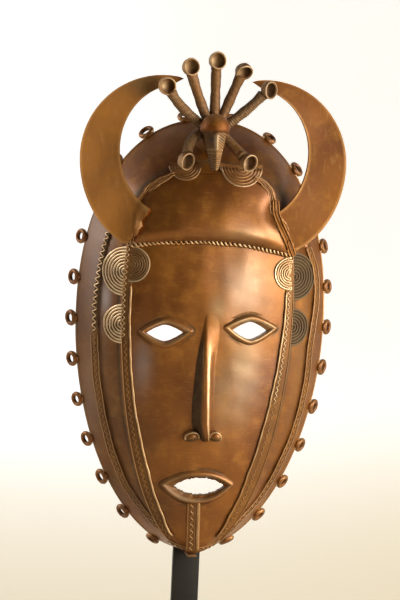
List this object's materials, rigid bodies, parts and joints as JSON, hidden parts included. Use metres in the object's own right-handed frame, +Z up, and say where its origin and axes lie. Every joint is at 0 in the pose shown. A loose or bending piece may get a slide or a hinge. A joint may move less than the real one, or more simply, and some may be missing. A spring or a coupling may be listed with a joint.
{
  "type": "horned face mask",
  "caption": "Oval cast brass face mask with pierced eyes and mouth, crescent horns, a small head with cupped arms as crest and rings round the rim, held at the chin by a bar on a plate foot.",
  "frame": {"origin": "centre of the stand foot's underside", "axes": "+Z up along the mask's length, -Y the way the face looks, +X to the right of someone looking at the face"},
  "size_m": [0.2026, 0.13, 0.4945],
  "materials": {
    "mask_brass": "warm brown patina, rubbed bright on raised edges, semi-gloss",
    "stand_paint": "matt black paint on steel"
  },
  "bodies": {
    "root": {"mask": "mask_brass", "stand_post": "stand_paint", "stand_foot": "stand_paint"}
  },
  "joints": []
}
